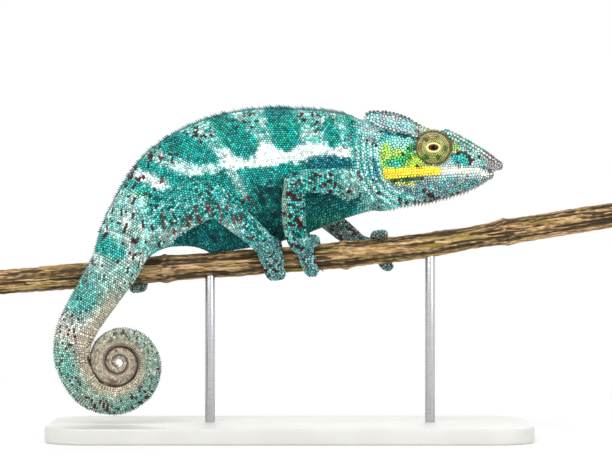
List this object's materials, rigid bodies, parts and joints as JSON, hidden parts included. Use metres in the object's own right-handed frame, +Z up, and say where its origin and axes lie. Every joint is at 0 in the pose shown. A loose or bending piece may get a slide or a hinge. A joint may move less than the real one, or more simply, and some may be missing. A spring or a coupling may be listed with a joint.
{
  "type": "panther chameleon museum model",
  "caption": "Life-size chameleon with a helmeted head and a coiled tail, gripping a cut length of branch that slim rods hold over a flat display base.",
  "frame": {"origin": "middle of the bounding box at the level of the stand's underside", "axes": "+Z up, +X the way the animal faces along the branch, its right side towards -Y"},
  "size_m": [0.314, 0.104, 0.1666],
  "materials": {
    "skin": "scaly, satin",
    "casque": "large plates, satin",
    "turret": "fine rings of scales, satin",
    "eyeball": "wet gloss",
    "bark": "dry ridged stem",
    "board": "plain satin paint",
    "steel": "brushed"
  },
  "bodies": {
    "root": {"eye_turret_left": "turret", "eye_turret_right": "turret", "eyeball_left": "eyeball", "eyeball_right": "eyeball", "foreleg_left_foot": "skin", "foreleg_left_lower": "skin", "foreleg_left_upper": "skin", "foreleg_right_foot": "skin", "foreleg_right_lower": "skin", "foreleg_right_upper": "skin", "head": "casque", "hindleg_left_foot": "skin", "hindleg_left_lower": "skin", "hindleg_left_upper": "skin", "hindleg_right_foot": "skin", "hindleg_right_lower": "skin", "hindleg_right_upper": "skin", "lower_jaw": "skin", "neck": "skin", "perch": "bark", "stand_base": "board", "stand_rod_1": "steel", "stand_rod_2": "steel", "tail_base": "skin", "tail_coil_inner": "skin", "tail_coil_lower": "skin", "tail_coil_upper": "skin", "tail_middle": "skin", "tail_tip": "skin", "trunk": "skin"}
  },
  "joints": []
}
